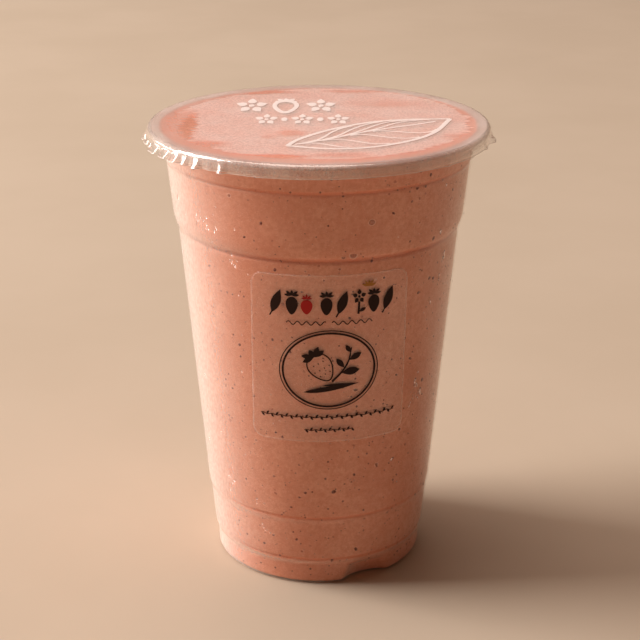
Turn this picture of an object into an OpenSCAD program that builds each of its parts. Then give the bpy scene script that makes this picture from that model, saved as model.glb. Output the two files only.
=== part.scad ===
// Strawberry smoothie in a clear plastic take-away cup, sealed with film.
// Millimetres, +Z up, origin at the middle of the foot, front of the cup towards -Y.

/* [Cup] */
// Height of the cup, from the table to the flat top of its rim
cup_h = 129; // [105:0.5:165]
// Outer diameter of the rolled rim
rim_d = 95; // [84:0.5:114]
// Width of the rim, from the mouth to its outer side
rim_w = 3; // [2.6:0.1:4]
// Height of the rolled rim
rim_h = 3.6; // [3:0.1:6]
// Radius of the roll along the rim's outer edges
rim_round = 1.2; // [1.2:0.1:1.8]
// Thickness of the cup's wall
wall_t = 0.7; // [0.4:0.05:1]
// Radius of the flare between the wall and the mouth
flare_r = 1.6; // [1.2:0.1:2.2]

/* [Wall] */
// Outer diameter of the foot band
foot_d = 61; // [50:0.5:74]
// Height of the foot band
foot_h = 6.4; // [4.5:0.1:9]
// Radius of the foot's lower edge
foot_round = 1.2; // [1:0.1:2]
// Outward step above the foot band
foot_step = 0.9; // [0.3:0.1:1.5]
// How much the lower band widens from bottom to top
band_draft = 1.1; // [0.4:0.1:1.6]
// Height of the lower band's top
band_h = 20.4; // [14:0.2:30]
// Outward step above the lower band
band_step = 0.5; // [0.2:0.1:1.5]
// Height over which each small step moves out
step_rise = 1.6; // [1:0.1:2.5]
// Distance from the rim's top down to the shoulder
shoulder_drop = 28.5; // [22:0.5:40]
// Outward step of the shoulder
shoulder_step = 1.15; // [0.4:0.05:2]
// Height over which the shoulder steps out
shoulder_rise = 3.2; // [2:0.1:5]
// How much the wall widens between the shoulder and the neck line
upper_draft = 1.65; // [0.8:0.05:3]
// Distance from the rim's top down to the neck line
neck_drop = 9.4; // [8:0.2:14]
// Outward step of the neck line
neck_step = 0.4; // [0.2:0.05:0.6]
// How far the wall above the neck line lies inside the mouth
neck_inset = 1.5; // [1.2:0.1:3]

/* [Base] */
// Width of the ring that the cup stands on
stand_w = 3.4; // [3:0.1:5]
// Height of the pushed-up middle of the base
push_up = 2.4; // [1:0.1:4]
// Number of notches in the foot band
notch_count = 2; // [1:1:6]
// Direction of the first notch, in degrees to the right of the front
notch_turn = 27; // [0:1:180]
// Depth of a notch, at the table
notch_depth = 3.6; // [2:0.1:4]
// Radius of a notch, at the table
notch_r = 12; // [8:0.5:16]
// How much narrower a notch's radius is at its top
notch_lean = 1.6; // [0.5:0.1:2]

/* [Drink] */
// Gap between the drink and the inside of the cup
drink_gap = 0.05; // [0.02:0.01:0.3]
// Gap between the drink's top and the film
head_gap = 0.3; // [0.1:0.05:1]

/* [Film] */
// Thickness of the film
film_t = 0.12; // [0.08:0.01:0.3]
// Gap between the film and the rim
film_gap = 0.02; // [0.01:0.01:0.1]
// How far the film's skirt reaches below the rim's top
skirt_drop = 3.5; // [2.5:0.1:6]
// How far the skirt's lower edge stands off the rim
skirt_flare = 0.25; // [0.1:0.01:0.5]
// Direction of the two creased corners, in degrees to each side of the front
crease_turn = 82; // [45:1:135]
// How far a creased corner stands out past the skirt
crease_out = 1.5; // [0.8:0.1:3]
// Width of a creased corner where it leaves the skirt
crease_w = 14; // [8:0.5:20]
// Height of a creased corner
crease_h = 2; // [1:0.1:2.4]

/* [Label] */
// Width of the label, measured around the cup
label_w = 44; // [20:0.5:60]
// Height of the label
label_h = 50; // [20:0.5:62]
// Distance from the shoulder down to the label's upper edge
label_drop = 3; // [1:0.5:20]
// Direction of the label's middle, in degrees to the right of the front
label_turn = 4.8; // [-180:0.1:180]
// Radius of the label's corners
label_round = 3.5; // [0.5:0.1:8]
// Thickness of the label
label_t = 0.15; // [0.1:0.01:0.3]
// Gap between the label and the cup
label_gap = 0.03; // [0.01:0.01:0.1]

/* [Hidden] */
$fn = 128;

// How far a cutting solid runs past what it cuts
past = 5;
// Steps in each short arc of a section
arc_steps = 6;

rim_r = rim_d / 2;
mouth_r = rim_r - rim_w;
foot_r = foot_d / 2;
band_r = foot_r + foot_step + band_draft;
band_top = band_h + step_rise;
neck_r = mouth_r - neck_inset;
neck_z = cup_h - neck_drop;
upper_r = neck_r - neck_step - upper_draft;
taper_r = upper_r - shoulder_step;
shoulder_z = cup_h - shoulder_drop;
label_z = shoulder_z - label_drop - label_h;
flare_z = cup_h - flare_r;
stand_r = foot_r - foot_round - stand_w;
flat_r = rim_r - rim_round;

// Points on the arc round [r, z], from angle from to angle to
function arc(r, z, radius, from, to) = [
    for (i = [0 : arc_steps])
        let (a = from + (to - from) * i / arc_steps)
        [r + radius * cos(a), z + radius * sin(a)]
];

// Outer radius of the long taper at a height
function taper_at(z) = let (low_r = band_r + band_step)
    low_r + (taper_r - low_r) * (z - band_top) / (shoulder_z - band_top);

// The wall's steps from the foot band up to the neck line, moved inwards by t
function wall_steps(t) = [
    [foot_r - t, foot_h],
    [foot_r + foot_step - t, foot_h + step_rise],
    [band_r - t, band_h],
    [band_r + band_step - t, band_top],
    [taper_r - t, shoulder_z],
    [upper_r - t, shoulder_z + shoulder_rise],
    [neck_r - neck_step - t, neck_z],
    [neck_r - t, neck_z + step_rise / 2]
];

// Half section of a solid cup whose whole surface lies t inside the real one
module vessel_section(t) {
    edge_r = max(foot_round - t, foot_round / 3);
    polygon(concat(
        [[0, push_up + t], [stand_r - push_up + t, push_up + t], [stand_r + t, t]],
        arc(foot_r - t - edge_r, t + edge_r, edge_r, -90, 0),
        wall_steps(t),
        arc(mouth_r, flare_z, flare_r - wall_t + t, 180, 90),
        [[mouth_r, cup_h + past], [0, cup_h + past]]
    ));
}

// Scallops pressed into the foot band, with their surface moved inwards by t
module notches(t) {
    low_r = notch_r + t;
    top_z = foot_h - foot_round / 2 + t;
    lean = notch_lean / top_z;
    for (i = [0 : notch_count - 1])
        rotate([0, 0, notch_turn - 90 + i * 360 / notch_count])
            translate([foot_r - notch_depth + notch_r, 0, -past])
                cylinder(h = past + top_z, r1 = low_r + lean * past, r2 = low_r - lean * top_z);
}

module vessel(t) {
    difference() {
        rotate_extrude() vessel_section(t);
        notches(t);
    }
}

// Half section of the rim: a flat flange that rolls over and back in at its lower edge
module rim_section() {
    low_z = cup_h - rim_h;
    polygon(concat(
        [[mouth_r, cup_h - wall_t], [mouth_r, cup_h]],
        arc(flat_r, cup_h - rim_round, rim_round, 90, 0),
        arc(flat_r, low_z + rim_round, rim_round, 0, -90),
        arc(flat_r, low_z + rim_round, rim_round - wall_t, -90, 0),
        arc(flat_r, cup_h - rim_round, rim_round - wall_t, 0, 90)
    ));
}

module cup() {
    color([0.9, 0.88, 0.87, 0.35])
    union() {
        difference() {
            intersection() {
                vessel(0);
                cylinder(h = cup_h, r = mouth_r);
            }
            vessel(wall_t);
        }
        rotate_extrude() rim_section();
    }
}

module smoothie() {
    color([0.9, 0.5, 0.4])
    intersection() {
        vessel(wall_t + drink_gap);
        cylinder(h = cup_h - head_gap, r = mouth_r);
    }
}

// Half section of the film: a flat disc with a skirt over the rim's rolled side
module film_section() {
    low_z = cup_h - skirt_drop;
    in_r = rim_round + film_gap;
    out_r = in_r + film_t;
    polygon(concat(
        [[0, cup_h + film_gap + film_t]],
        arc(flat_r, cup_h - rim_round, out_r, 90, 0),
        [[rim_r + film_gap + skirt_flare + film_t, low_z], [rim_r + film_gap + skirt_flare, low_z]],
        arc(flat_r, cup_h - rim_round, in_r, 0, 90),
        [[0, cup_h + film_gap]]
    ));
}

// Pointed outline of a creased corner, moved inwards by t
module crease_outline(t) {
    root_r = rim_r - film_t;
    tip_r = rim_r + film_gap + skirt_flare + film_t + crease_out;
    polygon([[root_r - t, -crease_w / 2], [tip_r - t, 0], [root_r - t, crease_w / 2]]);
}

module crease() {
    difference() {
        linear_extrude(crease_h) crease_outline(0);
        translate([0, 0, -past]) linear_extrude(crease_h + 2 * past) crease_outline(2 * film_t);
        translate([0, 0, -past]) cylinder(h = crease_h + 2 * past, r = rim_r + film_gap + skirt_flare / 2);
    }
}

module film() {
    color([0.95, 0.75, 0.7, 0.6])
    union() {
        rotate_extrude() film_section();
        for (side = [-1, 1])
            rotate([0, 0, side * crease_turn - 90])
                translate([0, 0, cup_h - skirt_drop])
                    crease();
    }
}

// Part of the long taper's surface, moved outwards by t, over the label's height
module taper_piece(t) {
    top_z = label_z + label_h;
    translate([0, 0, label_z])
        cylinder(h = label_h, r1 = taper_at(label_z) + t, r2 = taper_at(top_z) + t);
}

module label_outline() {
    middle_r = taper_at(label_z + label_h / 2);
    chord = 2 * middle_r * sin(label_w / middle_r * 90 / PI);
    in_w = chord - 2 * label_round;
    in_h = label_h - 2 * label_round;
    square([in_w, label_h], center = true);
    square([chord, in_h], center = true);
    for (x = [-in_w / 2, in_w / 2])
        for (y = [-in_h / 2, in_h / 2])
            translate([x, y])
                circle(r = label_round);
}

module label() {
    color([0.94, 0.78, 0.7, 0.6])
    intersection() {
        difference() {
            taper_piece(label_gap + label_t);
            taper_piece(label_gap);
        }
        rotate([0, 0, label_turn])
            translate([0, 0, label_z + label_h / 2])
                rotate([90, 0, 0])
                    linear_extrude(rim_r) label_outline();
    }
}

cup();
smoothie();
film();
label();
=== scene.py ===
"""Strawberry smoothie in a clear take-away cup sealed with film: its looks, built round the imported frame.

Lengths are in millimetres and become metres where a mesh is made. The rim's radius, the cup's height, and
the film's, drink's and label's places come from the frame. The other sizes of the wall repeat part.scad's.
"""

import random
from math import atan2, ceil, copysign, cos, degrees, exp, hypot, log, pi, radians, sin, sqrt, tau

import bmesh
import bpy
import numpy as np
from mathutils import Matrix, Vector


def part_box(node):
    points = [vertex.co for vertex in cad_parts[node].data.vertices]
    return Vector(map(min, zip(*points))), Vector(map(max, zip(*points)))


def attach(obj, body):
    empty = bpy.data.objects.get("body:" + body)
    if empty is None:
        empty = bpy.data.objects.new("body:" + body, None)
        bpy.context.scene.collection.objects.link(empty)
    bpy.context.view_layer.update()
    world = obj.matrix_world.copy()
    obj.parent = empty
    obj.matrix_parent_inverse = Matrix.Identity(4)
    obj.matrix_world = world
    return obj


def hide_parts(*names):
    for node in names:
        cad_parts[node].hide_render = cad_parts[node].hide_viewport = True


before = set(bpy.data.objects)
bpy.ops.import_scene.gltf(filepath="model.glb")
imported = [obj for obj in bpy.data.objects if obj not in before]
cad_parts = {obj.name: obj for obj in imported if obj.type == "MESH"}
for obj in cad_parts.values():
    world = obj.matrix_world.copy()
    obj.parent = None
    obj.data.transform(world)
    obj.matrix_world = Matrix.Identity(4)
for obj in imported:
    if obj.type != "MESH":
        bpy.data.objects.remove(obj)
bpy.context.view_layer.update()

MM = 0.001
BODY = "root"

# ---- sizes of the cup, as in part.scad

cup_low, cup_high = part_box("cup")
film_low, film_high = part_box("film")
label_low, label_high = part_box("label")
drink_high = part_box("smoothie")[1]

CUP_H = round(cup_high.z / MM, 2)
RIM_R = round((cup_high.x - cup_low.x) / 2 / MM, 1)
RIM_W = 3.0
RIM_H = 3.6
RIM_ROUND = 1.2
WALL_T = 0.7
FLARE_R = 1.6
FOOT_R = 30.5
FOOT_H = 6.4
FOOT_ROUND = 1.2
FOOT_STEP = 0.9
STEP_RISE = 1.6
STAND_W = 3.4
PUSH_UP = 2.4
MOUTH_R = RIM_R - RIM_W
FLAT_R = RIM_R - RIM_ROUND
FLARE_Z = CUP_H - FLARE_R
STAND_R = FOOT_R - FOOT_ROUND - STAND_W
BAND_R = FOOT_R + 2.0
BAND_H = 20.4
NECK_R = MOUTH_R - 1.5
NECK_Z = CUP_H - 9.4
UPPER_R = NECK_R - 2.05
TAPER_R = UPPER_R - 1.15
SHOULDER_Z = CUP_H - 28.5
SHOULDER_RISE = 3.2
TAPER_LOW_R = BAND_R + 0.5
TAPER_LOW_Z = BAND_H + STEP_RISE
# How far the wall leans out for each millimetre of height
WALL_SLOPE = 0.085

NOTCH_TURNS = (27.0, 207.0)
NOTCH_DEPTH = 3.6
NOTCH_R = 12.0
NOTCH_LEAN = 1.6

LABEL_TURN = 4.8
LABEL_W = 44.0
LABEL_ROUND = 3.5
LABEL_LOW_Z = label_low.z / MM
LABEL_HIGH_Z = label_high.z / MM
# How many degrees the label reaches to each side, with a margin, and how far drops on it stand off the wall
LABEL_HALF_TURN = 35
LABEL_STAND = 0.2

DRINK_TOP = drink_high.z / MM
FILM_TOP = film_high.z / MM
FILM_LOW_Z = film_low.z / MM

# The drink's mesh lies this far inside the cup's outer surface, so it reaches just into the wall
DRINK_INSET = 0.4
# How far the drink's flat top lies below its CAD piece's, and the width of the meniscus round it
TOP_DIP = 0.16
MENISCUS_W = 2.5
# The thickness of the printed ink
INK_T = 0.03

# How a section's straight stretches are divided: the longest stretch in the foot and above it, the shortest
# one that is divided, and how near to each end the first cut comes
FOOT_STRETCH = 0.8
WALL_STRETCH = 4.0
SHORT_STRETCH = 1.2
END_CUT = 0.3


# ---- small helpers


def smoothstep(low, high, x):
    """An eased step from 0 at low to 1 at high."""
    t = min(1.0, max(0.0, (x - low) / (high - low)))
    return t * t * (3 - 2 * t)


def polar(r, azimuth, z):
    """A point in millimetres. Azimuth is in degrees to the right of the front, which faces -Y."""
    a = radians(azimuth)
    return Vector((r * sin(a), -r * cos(a), z))


def turned(azimuth):
    """An azimuth brought to -180..180."""
    return (azimuth + 180) % 360 - 180


# ---- sections of the lathed pieces


def filleted(points, step=0.25):
    """A polyline of (r, z, fillet) as plain points, with corners rounded and straight stretches divided."""
    stretches = []
    for i, (r, z, f) in enumerate(points):
        here = np.array([r, z], float)
        if i in (0, len(points) - 1) or f <= 0:
            stretches.append([here])
            continue
        before = np.array(points[i - 1][:2], float) - here
        after = np.array(points[i + 1][:2], float) - here
        reach = min(f, 0.45 * np.linalg.norm(before), 0.45 * np.linalg.norm(after))
        a = here + before / np.linalg.norm(before) * reach
        b = here + after / np.linalg.norm(after) * reach
        shares = np.linspace(0, 1, max(3, round(2 * reach / step)) + 1)
        stretches.append([(1 - t) ** 2 * a + 2 * t * (1 - t) * here + t * t * b for t in shares])
    line = list(stretches[0])
    for before, after in zip(stretches, stretches[1:]):
        a, b = before[-1], after[0]
        length = np.linalg.norm(b - a)
        longest = FOOT_STRETCH if max(a[1], b[1]) <= FOOT_H else WALL_STRETCH
        if length > SHORT_STRETCH:
            inner = np.linspace(0, 1, max(1, ceil(length / longest)) + 1)[1:-1]
            cuts = (END_CUT / length, *inner, 1 - END_CUT / length)
            line.extend(a + (b - a) * share for share in cuts)
        line.extend(after)
    kept = [line[0]]
    for p in line[1:]:
        if np.linalg.norm(p - kept[-1]) > 1e-3:
            kept.append(p)
    return kept


def base_points(t):
    """The pushed-up base and the foot's lower edge, t inside the outer surface, from the axis outwards."""
    return [
        (0, PUSH_UP + t, 0),
        (STAND_R - PUSH_UP + t, PUSH_UP + t, 1.0),
        (STAND_R + t, t, 0.8),
        (FOOT_R - t, t, max(FOOT_ROUND - t, 0.4) * 1.3),
    ]


def wall_points(t):
    """The wall from the foot up to the neck, t inside the outer surface, as (r, z, fillet)."""
    return [
        (FOOT_R - t, FOOT_H, 0.9),
        (FOOT_R + FOOT_STEP - t, FOOT_H + STEP_RISE, 0.9),
        (BAND_R - t, BAND_H, 0.9),
        (TAPER_LOW_R - t, TAPER_LOW_Z, 0.9),
        (TAPER_R - t, SHOULDER_Z, 1.0),
        (UPPER_R - t, SHOULDER_Z + SHOULDER_RISE, 1.8),
        (NECK_R - 0.4 - t, NECK_Z, 0.8),
        (NECK_R - t, NECK_Z + STEP_RISE / 2, 0.8),
    ]


def wall_at(z, t=0.0):
    """Radius of the wall at a height, t inside its outer surface."""
    flare = (MOUTH_R - FLARE_R + WALL_T - t, FLARE_Z)
    steps = [(FOOT_R - t, 0), *[(r, at) for r, at, _ in wall_points(t)], flare]
    return float(np.interp(z, [at for _, at in steps], [r for r, _ in steps]))


def arc(r, z, radius, start, end, n=6):
    """Points of an arc round (r, z), between two angles in degrees."""
    return [
        (r + radius * cos(radians(a)), z + radius * sin(radians(a)), 0)
        for a in np.linspace(start, end, n + 1)
    ]


def cup_section():
    """The cup's closed outline: out under the base, up the wall, round the rolled rim and down inside."""
    low_z = CUP_H - RIM_H
    outer = base_points(0) + wall_points(0) + arc(MOUTH_R, FLARE_Z, FLARE_R - WALL_T, 180, 90)
    roll = (
        arc(FLAT_R, CUP_H - RIM_ROUND, RIM_ROUND - WALL_T, 90, 0)
        + arc(FLAT_R, low_z + RIM_ROUND, RIM_ROUND - WALL_T, 0, -90)
        + arc(FLAT_R, low_z + RIM_ROUND, RIM_ROUND, -90, 0)
        + arc(FLAT_R, CUP_H - RIM_ROUND, RIM_ROUND, 0, 90)
    )
    inner = base_points(WALL_T) + wall_points(WALL_T) + arc(MOUTH_R, FLARE_Z, FLARE_R, 180, 90)
    return filleted(outer + roll + inner[::-1])


# Lines where the wall's steps pinch the drink: height, depth, half width
GROOVES = (
    (FOOT_H + STEP_RISE, 0.30, 0.50),
    (TAPER_LOW_Z, 0.30, 0.50),
    (SHOULDER_Z + 0.5, 0.55, 0.65),
    (NECK_Z + 0.4, 0.40, 0.55),
)


def groove(z):
    """How far the grooves draw the drink in at a height."""
    return sum(depth * exp(-(((z - at) / half) ** 2)) for at, depth, half in GROOVES)


def drink_section():
    """The drink's outline, with a small meniscus where it meets the flare of the wall."""
    t = DRINK_INSET
    flare = arc(MOUTH_R, FLARE_Z, FLARE_R - WALL_T + t, 180, 100)
    edge_r = flare[-1][0]
    top = [
        (edge_r - 0.5, DRINK_TOP - 0.02, 0),
        (edge_r - MENISCUS_W, DRINK_TOP - TOP_DIP, 1.0),
        (0, DRINK_TOP - TOP_DIP, 0),
    ]
    line = filleted(base_points(t) + wall_points(t) + flare + top)
    return [(r - groove(z) if r > STAND_R + 1.5 else r, z) for r, z in line]


def notch_reach(azimuth, z, t):
    """Radius at which a notch's scallop, its surface moved inwards by t, cuts a ray from the axis."""
    top_z = FOOT_H - FOOT_ROUND / 2 + t
    centre = FOOT_R - NOTCH_DEPTH + NOTCH_R
    radius = NOTCH_R + t - NOTCH_LEAN * z / top_z
    reach = RIM_R
    for turn in NOTCH_TURNS:
        a = radians(turned(azimuth - turn))
        if abs(a) < pi / 3 and abs(centre * sin(a)) < radius:
            reach = min(reach, centre * cos(a) - sqrt(radius**2 - (centre * sin(a)) ** 2))
    return reach


def notched(r, azimuth, z, t):
    """The radius r drawn in where a notch is pressed into the foot, for a surface t inside the outer one."""
    inner = STAND_R + t
    if z > FOOT_H + t or r <= inner:
        return r
    soft = 0.25
    edge = FOOT_R - t
    over = min(notch_reach(azimuth, z, t) - edge, 6.0)
    drawn = edge - soft * log(1 + exp(-over / soft))
    share = max(0.06, (drawn - inner) / (edge - inner))
    fade = smoothstep(FOOT_H - 1.5 + t, FOOT_H - 0.2 + t, z)
    return r * fade + (inner + (r - inner) * share) * (1 - fade)


# ---- mesh builders


def linked(name, data):
    """A new object in the scene."""
    made = bpy.data.objects.new(name, data)
    bpy.context.scene.collection.objects.link(made)
    return made


def placed(name, mesh, material, smooth=True):
    """A mesh in millimetres, brought to metres, as a piece that rides on the body."""
    mesh.name = name
    mesh.transform(((MM, 0, 0, 0), (0, MM, 0, 0), (0, 0, MM, 0), (0, 0, 0, 1)))
    if smooth:
        mesh.shade_smooth()
    for part in material if isinstance(material, list) else [material]:
        mesh.materials.append(part)
    piece = linked(name, mesh)
    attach(piece, BODY)
    return piece


def from_bmesh(bm):
    """A mesh with all its faces turned outwards. The bmesh is freed."""
    bmesh.ops.recalc_face_normals(bm, faces=bm.faces)
    mesh = bpy.data.meshes.new("piece")
    bm.to_mesh(mesh)
    bm.free()
    return mesh


def joined(bm, a, b, segments, finish=0):
    """Faces between two rings of vertices, all with one material. A ring of one vertex is a pole."""
    for k in range(segments):
        m = (k + 1) % segments
        corners = dict.fromkeys([a[k % len(a)], a[m % len(a)], b[m % len(b)], b[k % len(b)]])
        bm.faces.new(list(corners)).material_index = finish


def lathed(section, place, segments):
    """A bmesh of a section turned about Z. place(r, azimuth, z) gives each vertex, and r = 0 is a pole."""
    bm = bmesh.new()
    rings = []
    for r, z in section:
        turns = range(segments) if r > 1e-6 else range(1)
        rings.append([bm.verts.new(place(r, 360 * k / segments, z)) for k in turns])
    for a, b in zip(rings, rings[1:]):
        joined(bm, a, b, segments)
    return bm


def ball(subdivisions, radius=1.0):
    """Vertices and faces of a small ball, as arrays."""
    bm = bmesh.new()
    bmesh.ops.create_icosphere(bm, subdivisions=subdivisions, radius=radius)
    bm.verts.ensure_lookup_table()
    verts = np.array([v.co for v in bm.verts])
    faces = [[v.index for v in f.verts] for f in bm.faces]
    bm.free()
    return verts, faces


def scattered(shape, frames):
    """One mesh of many copies of a small shape, each under its own 3x3 matrix and offset."""
    verts, faces = shape
    all_verts = [verts @ turn.T + offset for turn, offset in frames]
    all_faces = [[i + len(verts) * n for i in face] for n in range(len(frames)) for face in faces]
    mesh = bpy.data.meshes.new("piece")
    mesh.from_pydata(np.concatenate(all_verts).tolist(), [], all_faces)
    return mesh


def on_wall(azimuth, z, r, size, roll=0.0):
    """Matrix and offset that set a small shape on the wall, with X round it, Y up and Z outwards."""
    a = radians(azimuth)
    out = np.array([sin(a), -cos(a), -WALL_SLOPE])
    out /= np.linalg.norm(out)
    side = np.array([cos(a), sin(a), 0])
    up = np.cross(out, side)
    c, s = cos(roll), sin(roll)
    axes = np.column_stack([side * c + up * s, up * c - side * s, out])
    return axes @ np.diag(size), np.array(polar(r, azimuth, z))


# ---- flat shapes for the prints, in (u, v)


def oval(u, v, ru, rv, n=28):
    """An oval round (u, v), with radii ru and rv."""
    return [(u + ru * cos(tau * k / n), v + rv * sin(tau * k / n)) for k in range(n)]


def spun(points, u, v, angle):
    """Points turned by an angle in degrees and moved to (u, v)."""
    c, s = cos(radians(angle)), sin(radians(angle))
    return [(u + x * c - y * s, v + x * s + y * c) for x, y in points]


def leaf(u, v, length, width, angle, n=10, belly=1.15):
    """A pointed leaf from its foot at (u, v)."""
    shares = [k / n for k in range(n + 1)]
    upper = [(length * t, width / 2 * sin(pi * t**belly)) for t in shares]
    lower = [(length * t, -width / 2 * sin(pi * t**belly)) for t in shares[-2:0:-1]]
    return spun(upper + lower, u, v, angle)


def leaves(u, v, lengths, width):
    """Leaves from one point. lengths gives each one's angle and length."""
    return [leaf(u, v, length, width, angle) for angle, length in lengths]


def stroke(points, width, closed=False):
    """Quads along a line. width is a number, or a function of the share of the way along it."""
    pts = [np.array(p, float) for p in points]
    count = len(pts)
    sides = []
    for i, p in enumerate(pts):
        before = pts[i - 1] if closed or i else p
        after = pts[(i + 1) % count] if closed or i + 1 < count else p
        along = after - before
        across = np.array([-along[1], along[0]]) / max(np.linalg.norm(along), 1e-9)
        half = (width(i / (count - 1)) if callable(width) else width) / 2
        sides.append((p + across * half, p - across * half))
    pairs = zip(sides, sides[1:] + sides[:1]) if closed else zip(sides, sides[1:])
    return [[tuple(a[0]), tuple(a[1]), tuple(b[1]), tuple(b[0])] for a, b in pairs]


def curve(points, n=16):
    """A smooth line through a few chosen points."""
    pts = [np.array(p, float) for p in points]
    pts = [2 * pts[0] - pts[1], *pts, 2 * pts[-1] - pts[-2]]
    line = []
    for a, b, c, d in zip(pts, pts[1:], pts[2:], pts[3:]):
        for k in range(n):
            t = k / n
            bend = (2 * a - 5 * b + 4 * c - d) * t**2 + (3 * b - a - 3 * c + d) * t**3
            line.append(tuple(0.5 * (2 * b + (c - a) * t + bend)))
    return line + [tuple(pts[-2])]


def island_heights(bm):
    """A height for each vertex: the ink's thickness, a little different on each separate shape."""
    heights = {}
    count = 0
    for start in bm.verts:
        if start in heights:
            continue
        height = INK_T * (1 - 0.025 * (count % 17))
        count += 1
        waiting = [start]
        heights[start] = height
        while waiting:
            v = waiting.pop()
            for edge in v.link_edges:
                other = edge.other_vert(v)
                if other not in heights:
                    heights[other] = height
                    waiting.append(other)
    return heights


def inked(loops, place, cell):
    """Flat loops made into thin closed shapes, cut every cell across so they follow a curved surface."""
    bm = bmesh.new()
    for loop in loops:
        bm.faces.new([bm.verts.new((u, v, 0)) for u, v in loop])
    bmesh.ops.remove_doubles(bm, verts=bm.verts, dist=1e-4)
    bmesh.ops.triangulate(bm, faces=bm.faces)
    if cell:
        low = min(v.co.x for v in bm.verts)
        high = max(v.co.x for v in bm.verts)
        for cut in np.arange(low + cell, high, cell):
            whole = [*bm.verts, *bm.edges, *bm.faces]
            bmesh.ops.bisect_plane(bm, geom=whole, plane_co=(cut, 0, 0), plane_no=(1, 0, 0), dist=1e-5)
    flat = list(bm.faces)
    outline = [e for e in bm.edges if len(e.link_faces) == 1]
    heights = island_heights(bm)
    lifted = {v: bm.verts.new((v.co.x, v.co.y, heights[v])) for v in list(bm.verts)}
    for face in flat:
        bm.faces.new([lifted[v] for v in face.verts])
    for edge in outline:
        a, b = edge.verts
        bm.faces.new((a, b, lifted[b], lifted[a]))
    for v in bm.verts:
        v.co = place(*v.co)
    return from_bmesh(bm)


# ---- shader helpers


class Shader:
    """The node tree of a material or a world, with short calls for the nodes that they share."""

    def __init__(self, name, library=bpy.data.materials):
        self.owner = library.new(name)
        self.owner.use_nodes = True
        self.tree = self.owner.node_tree
        self.tree.nodes.clear()
        self.places = self.add("TexCoord").outputs
        self.here = self.places["Object"]

    def add(self, kind, inputs=None, **settings):
        """A new ShaderNode of a kind. Each input is a value or another node's socket."""
        node = self.tree.nodes.new("ShaderNode" + kind)
        for key, value in settings.items():
            setattr(node, key, value)
        for key, value in (inputs or {}).items():
            if isinstance(value, bpy.types.NodeSocket):
                self.tree.links.new(value, node.inputs[key])
            else:
                node.inputs[key].default_value = value
        return node

    def noise(self, scale, detail=3.0, rough=0.55, where=None):
        inputs = {"Vector": where or self.here, "Scale": scale, "Detail": detail, "Roughness": rough}
        return self.add("TexNoise", inputs).outputs["Fac"]

    def stretched(self, x, y, z):
        """The object's coordinates with each axis scaled."""
        return self.add("Mapping", {"Vector": self.here, "Scale": (x, y, z)}).outputs["Vector"]

    def cells(self, scale):
        """The distance to the nearest of many scattered points."""
        return self.add("TexVoronoi", {"Vector": self.here, "Scale": scale}).outputs["Distance"]

    def ramp(self, value, low, high, bottom=0.0, top=1.0):
        """A smooth step of value from low to high, from bottom to top."""
        inputs = {"Value": value, "From Min": low, "From Max": high, "To Min": bottom, "To Max": top}
        return self.add("MapRange", inputs, interpolation_type="SMOOTHSTEP").outputs["Result"]

    def maths(self, operation, a, b=0.0, clamp=False):
        return self.add("Math", {0: a, 1: b}, operation=operation, use_clamp=clamp).outputs["Value"]

    def times(self, a, b):
        return self.maths("MULTIPLY", a, b)

    def vector(self, operation, a, b):
        return self.add("VectorMath", {0: a, 1: b}, operation=operation).outputs["Vector"]

    def height(self, where):
        """The Z of a vector."""
        return self.add("SeparateXYZ", {"Vector": where}).outputs["Z"]

    def blend(self, share, a, b):
        """A colour between a and b, which are colours or sockets. They are a Mix node's inputs 6 and 7."""
        a, b = ((*c, 1.0) if isinstance(c, tuple) else c for c in (a, b))
        return self.add("Mix", {0: share, 6: a, 7: b}, data_type="RGBA").outputs[2]

    def bump(self, height, distance, strength):
        inputs = {"Height": height, "Distance": distance, "Strength": strength}
        return self.add("Bump", inputs).outputs["Normal"]

    def mixed(self, share, a, b):
        """A shader between a and b."""
        return self.add("MixShader", {0: share, 1: a, 2: b}).outputs["Shader"]

    def surface(self, inputs):
        return self.add("BsdfPrincipled", inputs).outputs["BSDF"]

    def see_through(self):
        return self.add("BsdfTransparent").outputs["BSDF"]

    def done(self, shader, kind="OutputMaterial"):
        """The finished material or world, with the shader as its surface."""
        self.add(kind, {"Surface": shader})
        return self.owner


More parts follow.
